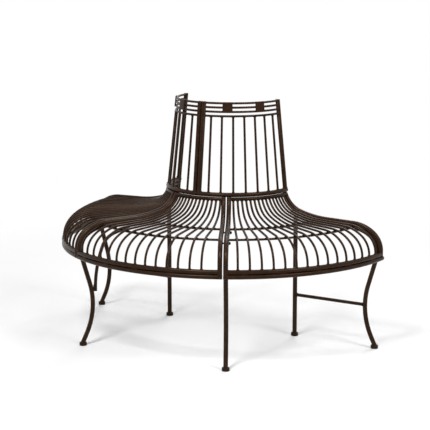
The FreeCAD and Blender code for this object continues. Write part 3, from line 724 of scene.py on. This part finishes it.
@dataclass(kw_only=True)
class SeatPanel(Sector):
    """One third of the seat: side rails, two rim tubes, back rail, two hoops and slats.

    The let-in fields say how far inside the side rails' middle planes a bar's ends lie, and how
    deep the slats' ends reach into the rim and the back rail. A hoop's welds show at its face,
    and the welds' half lengths and steps are plan angles in degrees.
    """

    slat_angles: np.ndarray
    section: SeatSection
    overhang: tuple = (0.0, 0.0)
    rim_let_in: float = 0.004
    back_rail_let_in: float = 0.002
    hoop_let_in: float = 0.0055
    hoop_face: float = 0.0072
    slat_let_in: tuple = (0.0012, 0.0015)
    rim_welds: int = 5
    rim_weld_margin: float = 6.0
    rim_weld_half: float = 1.3
    rim_weld_step: float = 0.13
    slat_weld_half: float = 0.9
    slat_weld_radius: float = 0.4
    slat_weld_step: float = 0.1

    def build(self) -> None:
        """Builds every piece of the panel."""
        self.side_rails()
        self.rims()
        self.back_rail()
        self.hoop_rods()
        self.slats()

    def side_rails(self) -> None:
        """Bent side rails, one at each side, each in a saddle on the lower rim, and their welds."""
        tube, radius, low = self.stock.tube, self.section.rim_radius, self.section.rim_height
        line = self.section.line(low, self.section.back_height + self.stock.seat_back / 2)
        beads = []
        for side, angle, shift, way in self.sides():
            self.put(f"{side}_side_rail", [round_bar(line.turned(angle, shift), tube)])
            for height, up in ((low, 1), (low + tube, 1), (low + tube, -1)):
                joint = saddle_joint(radius, height, tube, way, up).turned(angle, shift)
                beads.append(weld_bead(joint, self.welds.rail_on_rim, int(angle) + up))
        self.put("side_rail_welds", beads, False)

    def rims(self) -> None:
        """The two stacked rim tubes and the short welds between them."""
        tube, radius, low = self.stock.tube, self.section.rim_radius, self.section.rim_height
        arc = level_arc(radius, low + tube, *self.reach(self.rim_let_in, radius))
        self.put("upper_rim", [round_bar(arc, tube)])
        arc = level_arc(radius, low, *self.reach(-tube / 2, radius, self.overhang))
        self.put("lower_rim", [round_bar(arc, tube, eased=(True, True))])
        middles = np.linspace(self.first + self.rim_weld_margin, self.last - self.rim_weld_margin,
                              self.rim_welds)
        beads = []
        for number, middle in enumerate(middles):
            for away in (-self.welds.beside, self.welds.beside):
                joint = level_arc(radius + away, low + tube / 2, middle - self.rim_weld_half,
                                  middle + self.rim_weld_half, self.rim_weld_step)
                beads.append(weld_bead(joint, self.welds.rim_on_rim, number))
        self.put("rim_welds", beads, False)

    def back_rail(self) -> None:
        """The seat's rail along the tree, between the side rails' tops."""
        radius = self.section.end_radius
        arc = level_arc(radius, self.section.back_height, *self.reach(self.back_rail_let_in, radius))
        self.put("seat_back_rail", [round_bar(arc, self.stock.seat_back)])

    def hoop_rods(self) -> None:
        """The two hoops under the slats, let into the side rails, and their welds."""
        rod, welds = self.stock.rod, self.welds
        beads = []
        for which, radius in zip(("inner_hoop", "outer_hoop"), self.section.hoops):
            height, slope = self.section.at(radius)
            height -= rod / math.cos(math.radians(slope))
            arc = level_arc(radius, height, *self.reach(self.hoop_let_in, radius))
            self.put(which, [round_bar(arc, rod, ROD_SIDES)])
            shown = level_arc(radius, height, *self.reach(self.hoop_face, radius))
            beads += [weld_collar(shown, end, rod / 2, welds.hoop_end, end + 3) for end in (0, -1)]
            half = self.slat_weld_half * self.slat_weld_radius / radius
            for number, angle in enumerate(self.slat_angles):
                joint = level_arc(radius, height + rod / 2, angle - half, angle + half,
                                  self.slat_weld_step)
                beads.append(weld_bead(joint, welds.slat_on_hoop, number))
        self.put("hoop_welds", beads, False)

    def slats(self) -> None:
        """The bent slats, from the upper rim to the back rail, and the welds at their ends."""
        crest = self.section.rim_height + 1.5 * self.stock.tube
        under = self.section.back_height - self.stock.seat_back / 2
        low, high = self.slat_let_in
        line, shown = self.section.line(crest - low, under + high), self.section.line(crest, under)
        self.put("slats", [round_bar(line.turned(angle), self.stock.rod, ROD_SIDES)
                           for angle in self.slat_angles])
        beads = [weld_collar(shown.turned(angle), end, self.stock.rod / 2, self.welds.slat_end,
                             number + 40 * end)
                 for number, angle in enumerate(self.slat_angles) for end in (0, -1)]
        self.put("slat_welds", beads, False)


@dataclass(kw_only=True)
class BackPanel(Sector):
    """One half of the backrest: lower rail, two uprights, bars, crown rods and plates.

    The crown's drop is from the uprights' tops to the highest rod, and its pitch from rod to rod.
    """

    radius: float = 0.227
    rail_height: float = 0.5285
    lean: float = 6.05
    top: float = 0.850
    bar_pitch: float = 11.25
    bars: int = 7
    bar_let_in: float = 0.0012
    crown_drop: float = 0.0045
    crown_pitch: float = 0.0149
    crown_rods: int = 4
    crown_let_in: float = 0.0015
    plate_angle: float = 28.125
    plate_size: tuple = (0.035, 0.037, 0.003)

    def radius_at(self, height: float) -> float:
        """Radius of the leaning back at a height."""
        return self.radius - (height - self.rail_height) * math.tan(math.radians(self.lean))

    def build(self) -> None:
        """Builds every piece of the half."""
        self.uprights()
        tube = self.stock.tube
        arc = level_arc(self.radius, self.rail_height, *self.reach(-tube / 2, self.radius))
        self.put("back_lower_rail", [round_bar(arc, tube, eased=(True, True))])
        self.crown()
        self.bars_between()
        self.plates()

    def leaning(self, low: float, high: float, shift: float = 0.0) -> Line:
        """Leaning line between two level cuts at plan angle 0."""
        line = straight((self.radius_at(low), shift, low), (self.radius_at(high), shift, high))
        return replace(line, cuts=(UP, UP))

    def uprights(self) -> None:
        """The two leaning uprights, let into the lower rail, with a weld round each foot."""
        tube = self.stock.tube
        beads = []
        for side, angle, shift, _ in self.sides():
            line = self.leaning(self.rail_height, self.top, shift).turned(angle)
            self.put(f"back_{side}_upright", [round_bar(line, tube, eased=(False, True))])
            shown = self.leaning(self.rail_height + tube / 2, self.top, shift).turned(angle)
            beads.append(weld_collar(shown, 0, tube / 2, self.welds.upright_foot, 5))
        self.put("upright_welds", beads, False)

    def crown(self) -> None:
        """The thin rods round the top, let into the uprights."""
        half, rod = self.stock.tube / 2, self.stock.rod
        bars, beads = [], []
        for index in range(self.crown_rods):
            height = self.top - self.crown_drop - index * self.crown_pitch
            radius = self.radius_at(height)
            arc = level_arc(radius, height, *self.reach(half - self.crown_let_in, radius))
            bars.append(round_bar(arc, rod, ROD_SIDES))
            shown = level_arc(radius, height, *self.reach(half, radius))
            spread = self.welds.crown_end if index else self.welds.crown_top_end
            beads += [weld_collar(shown, end, rod / 2, spread, index) for end in (0, -1)]
        self.put("crown_rods", bars)
        self.put("crown_welds", beads, False)

    def bars_between(self) -> None:
        """The straight bars from the lower rail to the lowest crown rod, and their welds."""
        rod = self.stock.rod
        low = self.rail_height + self.stock.tube / 2
        high = self.top - self.crown_drop - (self.crown_rods - 1) * self.crown_pitch
        line, shown = self.leaning(low - self.bar_let_in, high), self.leaning(low, high - rod / 2)
        angles = self.first + self.bar_pitch * np.arange(1, self.bars + 1)
        self.put("back_bars", [round_bar(line.turned(angle), rod, ROD_SIDES) for angle in angles])
        beads = [weld_collar(shown.turned(angle), end, rod / 2, self.welds.bar_end, number)
                 for number, angle in enumerate(angles) for end in (0, -1)]
        self.put("back_welds", beads, False)

    def plates(self) -> None:
        """The small plates across the crown rods."""
        middle = self.top - self.plate_size[1] / 2
        face = self.radius_at(middle) + self.stock.rod / 2
        self.put("plates", [bent_plate(face, middle, angle, self.plate_size, self.lean)
                            for angle in (self.first + self.plate_angle,
                                          self.last - self.plate_angle)], smooth=30.0)


def bent_plate(face: float, middle: float, angle: float, size: tuple, lean: float,
               ease: float = 0.0005) -> Surface:
    """Plate bent round the leaning crown, with edges eased all round.

    A point of the plate is its place across and up, laid on the cone of the crown, plus its
    share of the thickness outwards. Each ring follows the plate's outline, and each flat side is
    filled with a strip of quads between the outline's lower and upper edge and a piece at each
    end.

    Args:
        face: Radius of the plate's inner face at its middle.
        middle: Height of its middle.
        angle: Plan angle of its middle in degrees.
        size: Width along the arc, height up the lean and thickness.
        lean: Lean in degrees.
        ease: Width of the eased edge.

    Returns:
        The closed surface.
    """
    width, height, thick = size
    columns, between = 9, 3
    across = np.linspace(-0.5, 0.5, columns)
    upwards = np.linspace(-0.5, 0.5, between + 2)[1:-1]
    u = np.concatenate([across, np.full(between, 0.5), across[::-1], np.full(between, -0.5)])
    v = np.concatenate([np.full(columns, -0.5), upwards, np.full(columns, 0.5), upwards[::-1]])
    rings = []
    for out, inset in ((0.0, ease), (ease, 0.0), (thick - ease, 0.0), (thick, ease)):
        x, z = u * (width - 2 * inset), v * (height - 2 * inset)
        radius = face + out - z * math.tan(math.radians(lean))
        around = math.radians(angle) + x / face
        rings.append(np.stack([radius * np.cos(around), AXIS_Y - radius * np.sin(around),
                               middle + z], 1))
    faces = [list(quad) for quad in stacked_rings(np.array(rings)).faces if len(quad) == 4]
    count, top = len(u), columns + between
    for base in (0, (len(rings) - 1) * count):
        lower = base + np.arange(columns)
        upper = base + np.arange(top + columns - 1, top - 1, -1)
        faces += np.stack([lower[:-1], lower[1:], upper[1:], upper[:-1]], 1).tolist()
        faces.append((base + np.arange(columns - 1, top + 1)).tolist())
        faces.append((base + np.append(np.arange(top + columns - 1, count), 0)).tolist())
    return Surface(np.concatenate(rings), faces)


@dataclass(kw_only=True)
class Legs(WeldedFrame):
    """Outer and inner legs, stretchers, braces and foot caps.

    The outer legs' leans are in degrees off the line between their ends. The waist's top is a
    height that parts the leg from its run below the seat. A brace's weld is given by its length,
    its distance beside the brace's middle and its depth.
    """

    section: SeatSection
    foot_finish: bpy.types.Material
    foot_radius: float = 0.5959
    foot_lean: float = 25.2
    top_lean: float = 17.4
    bend: float = 0.250
    knee: float = 0.045
    end_radius: float = 0.255
    inner_radius: float = 0.271
    waist_top: float = 0.3
    stretcher_height: float = 0.1514
    stretcher_let_in: float = 0.003
    brace_start: tuple = (0.5401, 0.1905)
    brace_steps: tuple = (0.008, (0.400, 22.0, 1), (0.075, 51.0, 1), 0.058)
    brace_weld: tuple = (0.022, 0.0035, 0.001)
    rail_weld_shares: tuple = (0.12, 0.3, 0.5, 0.7, 0.84)
    rail_weld_points: int = 14
    rail_weld_pitch: float = 0.002
    cap_diameter: float = 0.026
    cap_height: float = 0.012
    cap_ease: float = 0.001
    foot_inset: float = 0.001

    @property
    def base(self) -> float:
        """Height at which the legs' tubes end inside their caps."""
        return self.cap_height - self.foot_inset

    def ends(self) -> tuple:
        """Leg's top on the rim, and its first and last heading off the line between its ends."""
        stock = self.stock
        top = (self.section.rim_radius - stock.tube / 2 - stock.leg / 2, self.section.rim_height)
        chord = math.degrees(math.atan2(top[1], top[0] - self.foot_radius))
        return np.array(top), chord + self.foot_lean, chord - self.top_lean

    def line(self) -> Line:
        """Outer leg's centreline at plan angle 0, from its cap up to the rim and on below a rail.

        Returns:
            The line, its foot cut level inside the cap.
        """
        top, low, high = self.ends()
        arc = (self.bend, self.foot_lean + self.top_lean, -1)
        loose = upright_chain((self.foot_radius, 0.0), low, [arc])
        a, b = math.radians(low), math.radians(high)
        ways = np.array([[math.cos(a), math.cos(b)], [math.sin(a), math.sin(b)]])
        first, last = np.linalg.solve(ways, top - loose.points[-1, [0, 2]])
        rise, *under = self.section.steps(below=(self.stock.tube + self.stock.leg) / 2)
        spare = self.knee * math.tan(math.radians(90 - high) / 2)
        steps = [first - self.base / math.sin(a), arc, last - spare, (self.knee, 90 - high, 1),
                 rise + self.stock.tube / 2 - spare, *under]
        start = (self.foot_radius + self.base / math.tan(a), self.base)
        return replace(upright_chain(start, low, steps).until(self.end_radius), cuts=(UP, None))

    def build(self) -> None:
        """Builds all legs and what joins them."""
        outer = self.line()
        nodes = (("right_outer_leg", 0.0), ("front_right_leg", 60.0),
                 ("front_left_leg", 120.0), ("left_outer_leg", 180.0))
        for node, angle in nodes:
            self.put(node, [round_bar(outer.turned(angle), self.stock.leg, eased=(False, True))])
        self.rail_welds([angle for _, angle in nodes])
        self.end_frames(outer)
        self.braces()
        self.caps()

    def rail_welds(self, angles: list) -> None:
        """Short welds between each leg's run below the seat and the side rail above it.

        Args:
            angles: Plan angles of the legs.
        """
        half, beside = self.stock.tube / 2, self.welds.beside
        joint = upright_chain((self.section.rim_radius - half, self.section.rim_top), 90.0,
                              self.section.steps(below=half), self.rail_weld_pitch)
        beads = []
        for share in self.rail_weld_shares:
            start = int(share * len(joint.points))
            part = slice(start, start + self.rail_weld_points)
            piece = Line(joint.points[part], joint.tangents[part], joint.normal)
            beads += [weld_bead(piece.turned(angle, shift), self.welds.rail_on_leg, start)
                      for angle in angles for shift in (-beside, beside)]
        self.put("rail_welds", beads, False)

    def end_frames(self, outer: Line) -> None:
        """Inner legs and stretchers at the bench's two ends.

        Args:
            outer: The outer leg's centreline.
        """
        stock, level, near = self.stock, self.stretcher_height, self.inner_radius
        low = outer.points[:, 2] < self.waist_top
        index = int(np.argmin(np.where(low, np.inf, np.abs(outer.points[:, 0] - near))))
        way = outer.tangents[index]
        high = outer.points[index, 2] - (outer.points[index, 0] - near) * way[2] / way[0]
        cut = np.array([-way[2], 0.0, way[0]])
        leg = replace(straight((near, 0.0, self.base), (near, 0.0, high)), cuts=(None, cut))
        waist = float(np.interp(level, outer.points[low, 2], outer.points[low, 0]))
        half = stock.leg / 2
        inside = half - self.stretcher_let_in
        bar = straight((near + inside, 0.0, level), (waist - inside, 0.0, level))
        shown = straight((near + half, 0.0, level), (waist - half, 0.0, level))
        for side, angle in (("right", 0.0), ("left", 180.0)):
            self.put(f"{side}_inner_leg", [round_bar(leg.turned(angle), stock.leg)])
            self.put(f"{side}_stretcher", [round_bar(bar.turned(angle), stock.stretcher)])
            beads = [weld_collar(shown.turned(angle), end, stock.stretcher / 2,
                                 self.welds.stretcher_end, 3 + end) for end in (0, -1)]
            self.put(f"{side}_stretcher_welds", beads, False)

    def braces(self) -> None:
        """Bent braces from the middle legs up to their runs below the seat."""
        line = upright_chain(self.brace_start, 90.0, list(self.brace_steps))
        way = line.tangents[0]
        foot = line.points[0] + 0.5 * self.stock.brace * np.array([1.0, 0.0, 0.0])
        length, beside, sunk = self.brace_weld
        count = 12
        run = np.linspace(0.0, length, count)[:, None] * way + foot
        seam = [Line(run + np.array([-sunk, side * beside, sunk]),
                     np.repeat(way[None], count, 0), line.normal) for side in (-1, 1)]
        for side, angle in (("right", 60.0), ("left", 120.0)):
            node = f"front_{side}_brace"
            bar = round_bar(line.turned(angle), self.stock.brace, eased=(True, True))
            self.put(node, [bar])
            self.put(node + "_welds", [weld_bead(piece.turned(angle), self.welds.brace_foot, 2)
                                       for piece in seam], False)

    def caps(self) -> None:
        """Foot caps: a round outline turned about the leg's foot."""
        radius, height, ease = self.cap_diameter / 2, self.cap_height, self.cap_ease
        outline = np.array([(radius - ease, 0.0), (radius, ease), (radius, height - 2 * ease),
                            (radius - 0.6 * ease, height - 0.6 * ease),
                            (radius - 2 * ease, height)])
        _, low, _ = self.ends()
        spread = self.foot_radius + height / math.tan(math.radians(low))
        for name, place, angles in (("outer_feet", spread, (0.0, 60.0, 120.0, 180.0)),
                                    ("inner_feet", self.inner_radius, (0.0, 180.0))):
            surfaces = [turned_cap(outline, place, angle) for angle in angles]
            add_piece(name + "_finished", surfaces, self.foot_finish, (name,), 40.0)


def turned_cap(outline: np.ndarray, radius: float, angle: float, sides: int = 32) -> Surface:
    """Outline turned about an upright axis: radius times cosine and sine, at its height.

    Args:
        outline: Radii and heights from the bottom to the top.
        radius: Radius of the axis from the tree's.
        angle: Plan angle of the axis in degrees.
        sides: Number of sides.

    Returns:
        The closed surface.
    """
    rings = outline[:, :1, None] * circle(sides)[None] + outline[:, 1:, None] * UP
    return stacked_rings(rings + turned_points(np.array([[radius, 0.0, 0.0]]), angle)[0])


@dataclass(kw_only=True)
class SeamJoints:
    """Tabs under the middle panel's side rails, and the bolts and nuts through the legs.

    The seam is how far those side rails stand beside the legs' middle planes.
    """

    section: SeatSection
    coat: bpy.types.Material
    zinc: bpy.types.Material
    seam: float
    offset: float = 0.012
    tab_width: float = 0.018
    tab_thickness: float = 0.004
    tab_ease: float = 0.0004
    let_in: float = 0.0015
    bolt: float = 0.006
    flats: float = 0.010
    head: float = 0.004
    nut: float = 0.005
    thread_end: float = 0.0015
    thread_depth: float = 0.00022
    threads: float = 6.5
    thread_taper: tuple = (0.0002, 0.0006)
    shank_let_in: float = 0.001
    under_share: float = 0.97
    under_edge: float = 0.0002
    cone_edge: float = 0.0003
    top_share: float = 0.47

    def build(self) -> None:
        """Builds the tabs, bolts and nuts of both seams."""
        tabs, bolts, nuts = [], [], []
        seam, tube = self.seam, self.section.stock.leg / 2
        outer, end = seam + self.tab_thickness / 2, tube + self.nut + self.thread_end
        for angle, side in ((60.0, 1), (120.0, -1)):
            for hoop in self.section.hoops:
                parts = ((tabs, self.tab_rings(-side * seam)),
                         (bolts, self.hexagon(-side * outer, -side, self.head)),
                         (nuts, self.hexagon(side * tube, side, self.nut)),
                         (bolts, self.shank(side * tube, side * end)),
                         (bolts, self.shank(-side * seam, -side * (tube - self.shank_let_in),
                                            False)))
                for pieces, rings in parts:
                    pieces.append(self.across(angle, hoop, rings))
        add_piece("seam_tabs_finished", tabs, self.coat, ("seam_tabs",), 40.0)
        add_piece("seam_bolts_finished", bolts, self.zinc, ("seam_bolts",), 25.0)
        add_piece("seam_nuts_finished", nuts, self.zinc, ("seam_nuts",), 25.0)

    def across(self, angle: float, hoop: float, rings: np.ndarray) -> Surface:
        """Places rings drawn at a bolt's centre, X along the rail, Y away from it, Z across.

        Args:
            angle: Plan angle of the seam.
            hoop: Radius of the hoop beside which the bolt sits.
            rings: The rings' points.

        Returns:
            The closed surface in the bench's frame.
        """
        radius = hoop + self.offset
        height, slope = self.section.at(radius)
        tilt = math.radians(slope)
        drop = (self.section.stock.tube + self.section.stock.leg) / 2
        along = np.array([math.cos(tilt), 0.0, -math.sin(tilt)])
        down = np.array([-math.sin(tilt), 0.0, -math.cos(tilt)])
        centre = np.array([radius, 0.0, height]) + drop * down
        flat = rings.reshape(-1, 3)
        placed = centre + flat[:, :1] * along - flat[:, 1:2] * down + flat[:, 2:] * [0.0, 1.0, 0.0]
        return stacked_rings(turned_points(placed, angle).reshape(rings.shape))

    def tab_rings(self, middle: float) -> np.ndarray:
        """Rings of a tab: square top let into the rail, round lower end, eased edges.

        Args:
            middle: Place of the tab's middle across the seam.

        Returns:
            The rings.
        """
        ease = self.tab_ease
        top = self.section.stock.leg / 2 + self.let_in
        around = np.radians(np.linspace(180.0, 360.0, 17))
        rings = []
        for place, inset in ((-0.5, ease), (-0.4, 0.0), (0.4, 0.0), (0.5, ease)):
            half = self.tab_width / 2 - inset
            x = np.concatenate([[-half], half * np.cos(around), [half]])
            y = np.concatenate([[top], half * np.sin(around), [top]])
            z = np.full(len(x), middle + place * self.tab_thickness)
            rings.append(np.stack([x, y, z], 1))
        return np.array(rings)

    def hexagon(self, face: float, way: int, height: float) -> np.ndarray:
        """Rings of a bolt's head or a nut: a hexagon whose outer corners a cone turns down.

        The outline's distance is half the width across flats over the cosine of the angle from
        the nearest flat's middle. The cone leaves it lower by a share of what exceeds the flats.
        The rings are the slightly smaller inner face, the outline's two edges and the flat top.

        Args:
            face: Place of the inner face across the seam.
            way: 1 or -1, the side to which it stands out.
            height: Its height.

        Returns:
            The rings.
        """
        count = 48
        level = np.ones(count)
        around = np.radians(np.arange(count) * 360.0 / count)
        distance = self.flats / 2 / np.cos((around + math.pi / 6) % (math.pi / 3) - math.pi / 6)
        corner = (distance - self.flats / 2) * math.tan(math.radians(30.0))
        rows = ((self.under_share * distance, 0.0 * level), (distance, self.under_edge * level),
                (distance, height - self.cone_edge - corner),
                (self.top_share * self.flats * level, height * level))
        return np.stack([np.stack([out * np.cos(around), out * np.sin(around), face + way * up], 1)
                         for out, up in rows])

    def shank(self, first: float, last: float, threaded: bool = True) -> np.ndarray:
        """Rings of a round shank across the seam, with a thread's ridges or smooth.

        The ridges are a sine of the place along the shank, and the last rings taper.

        Args:
            first: Place of its first end across the seam.
            last: Place of its last end.
            threaded: Whether it has ridges.

        Returns:
            The rings.
        """
        share = np.linspace(0.0, 1.0, 27 if threaded else 3)
        out = np.full(len(share), self.bolt / 2)
        if threaded:
            out -= self.thread_depth * (1 + np.sin(share * 2 * math.pi * self.threads))
            out[-2:] -= self.thread_taper
        place = first + share * (last - first)
        return out[:, None, None] * circle(20)[None] + place[:, None, None] * UP


# Studio


def hang(data: bpy.types.ID, place: tuple, way: tuple) -> bpy.types.Object:
    """Adds a camera or lamp.

    Args:
        data: The camera or lamp.
        place: Where it hangs.
        way: The direction in which it looks.

    Returns:
        Its object.
    """
    thing = bpy.data.objects.new(data.name, data)
    thing.location = place
    thing.rotation_mode = "QUATERNION"
    thing.rotation_quaternion = Vector(way).to_track_quat("-Z", "Y")
    bpy.context.scene.collection.objects.link(thing)
    return thing


@dataclass(frozen=True)
class Lamp:
    """A square lamp with its place, power in watts and width."""

    name: str
    place: tuple
    power: float
    size: float

    def build(self, target: tuple) -> None:
        """Hangs the lamp so that it looks at a target."""
        data = bpy.data.lights.new(self.name, "AREA")
        data.energy = self.power
        data.size = self.size
        hang(data, self.place, Vector(target) - Vector(self.place))


@dataclass(frozen=True)
class Studio:
    """Floor, backdrop light, lamps and the photograph's camera."""

    camera_place: tuple = (2.813, -4.579 + AXIS_Y, 1.430)
    camera_way: tuple = (-0.5233, 0.8317, -0.1857)
    lens: float = 125.35
    sensor: float = 36.0
    far: float = 100.0
    soft_light: float = 0.3
    floor_radius: float = 6.0
    floor_tone: float = 0.93
    fade: tuple = (0.9, 2.4)
    target: tuple = (0.0, 0.0, 0.4)
    lamps: tuple = (Lamp("key", (0.2, -2.6, 3.8), 120.0, 1.0),
                    Lamp("side", (2.8, -0.4, 2.9), 50.0, 1.0),
                    Lamp("back", (-0.6, 2.6, 3.2), 60.0, 1.4))

    def build(self) -> None:
        """Builds the studio."""
        self.camera()
        self.world()
        self.floor()
        for lamp in self.lamps:
            lamp.build(self.target)

    def camera(self) -> None:
        """Camera at the photograph's place."""
        data = bpy.data.cameras.new("camera")
        data.lens = self.lens
        data.sensor_width = self.sensor
        data.clip_end = self.far
        bpy.context.scene.camera = hang(data, self.camera_place, self.camera_way)

    def world(self) -> None:
        """White to the camera and in reflections, plain soft light on the object."""
        world = bpy.data.worlds.new("studio")
        world.use_nodes = True
        bpy.context.scene.world = world
        tree = world.node_tree
        white = (1.0, 1.0, 1.0, 1.0)
        light = tree.nodes["Background"]
        light.inputs["Color"].default_value = white
        light.inputs["Strength"].default_value = self.soft_light
        mix = add_node(tree, "MixShader")
        tree.links.new(seen_directly(tree), mix.inputs[0])
        tree.links.new(light.outputs[0], mix.inputs[1])
        tree.links.new(add_node(tree, "Background", {"Color": white}).outputs[0], mix.inputs[2])
        tree.links.new(mix.outputs[0], tree.nodes["World Output"].inputs["Surface"])

    def floor(self) -> None:
        """Round white floor that keeps the bench's shadow and fades into the white behind it."""
        mesh = bpy.data.meshes.new("floor")
        rim = self.floor_radius * circle(64)
        mesh.from_pydata(rim.tolist(), [], [list(range(len(rim)))])
        floor = bpy.data.objects.new("floor", mesh)
        material = bpy.data.materials.new("white_floor")
        material.use_nodes = True
        tree = material.node_tree
        shader = tree.nodes["Principled BSDF"]
        shader.inputs["Base Color"].default_value = (*[self.floor_tone] * 3, 1.0)
        shader.inputs["Roughness"].default_value = 0.9
        shader.inputs["Specular IOR Level"].default_value = 0.0
        place = add_node(tree, "TexCoord")
        reach = add_node(tree, "VectorMath", operation="LENGTH")
        start, end = self.fade
        fade = add_node(tree, "MapRange", {"From Min": start, "From Max": end},
                        interpolation_type="SMOOTHSTEP")
        share = add_node(tree, "Math", operation="MULTIPLY")
        mix = add_node(tree, "MixShader")
        tree.links.new(place.outputs["Object"], reach.inputs[0])
        tree.links.new(reach.outputs["Value"], fade.inputs["Value"])
        tree.links.new(fade.outputs["Result"], share.inputs[0])
        tree.links.new(seen_directly(tree), share.inputs[1])
        tree.links.new(share.outputs[0], mix.inputs[0])
        tree.links.new(shader.outputs[0], mix.inputs[1])
        tree.links.new(add_node(tree, "Emission").outputs[0], mix.inputs[2])
        tree.links.new(mix.outputs[0], tree.nodes["Material Output"].inputs["Surface"])
        mesh.materials.append(material)
        bpy.context.scene.collection.objects.link(floor)


def seen_directly(tree: bpy.types.NodeTree) -> bpy.types.NodeSocket:
    """Socket that is 1 for rays from the camera, off gloss and through glass.

    Args:
        tree: The node tree that gets the nodes.

    Returns:
        The socket.
    """
    path = add_node(tree, "LightPath")
    total = path.outputs["Is Camera Ray"]
    for name in ("Is Glossy Ray", "Is Transmission Ray"):
        either = add_node(tree, "Math", operation="MAXIMUM")
        tree.links.new(total, either.inputs[0])
        tree.links.new(path.outputs[name], either.inputs[1])
        total = either.outputs[0]
    return total


def main() -> None:
    """Loads the frame, builds the bench and the studio, and notes the sizes."""
    logging.basicConfig(level=logging.INFO, format="%(name)s %(message)s")
    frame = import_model()
    log.info("%d nodes in the frame", len(frame["nodes"]))
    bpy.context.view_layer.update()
    finishes = Finishes()
    coat = finishes.coat
    section = SeatSection()
    seat_seam = 0.019
    back_seam = 0.0085
    rim_overhang = 0.005
    slat_pitch = 3.75
    end_slats = slat_pitch * np.arange(1, 16)
    middle_slats = 90 + slat_pitch * np.arange(-6, 7)
    panels = (
        SeatPanel(side=Side.RIGHT, first=0.0, last=60.0, slat_angles=end_slats, section=section,
                  coat=coat, overhang=(rim_overhang, 0.0)),
        SeatPanel(side=Side.MIDDLE, first=60.0, last=120.0, shifts=(seat_seam, seat_seam),
                  slat_angles=middle_slats, section=section, coat=coat),
        SeatPanel(side=Side.LEFT, first=120.0, last=180.0, slat_angles=120 + end_slats,
                  section=section, coat=coat, overhang=(0.0, rim_overhang)),
    )
    for panel in panels:
        panel.build()
    BackPanel(side=Side.RIGHT, first=0.0, last=90.0, shifts=(0.0, back_seam), coat=coat).build()
    BackPanel(side=Side.LEFT, first=90.0, last=180.0, shifts=(back_seam, 0.0), coat=coat).build()
    Legs(section=section, coat=coat, foot_finish=finishes.foot).build()
    SeamJoints(section=section, coat=coat, zinc=finishes.fastener, seam=seat_seam).build()
    bpy.context.scene.view_settings.view_transform = "Standard"
    Studio().build()


if __name__ == "__main__":
    main()
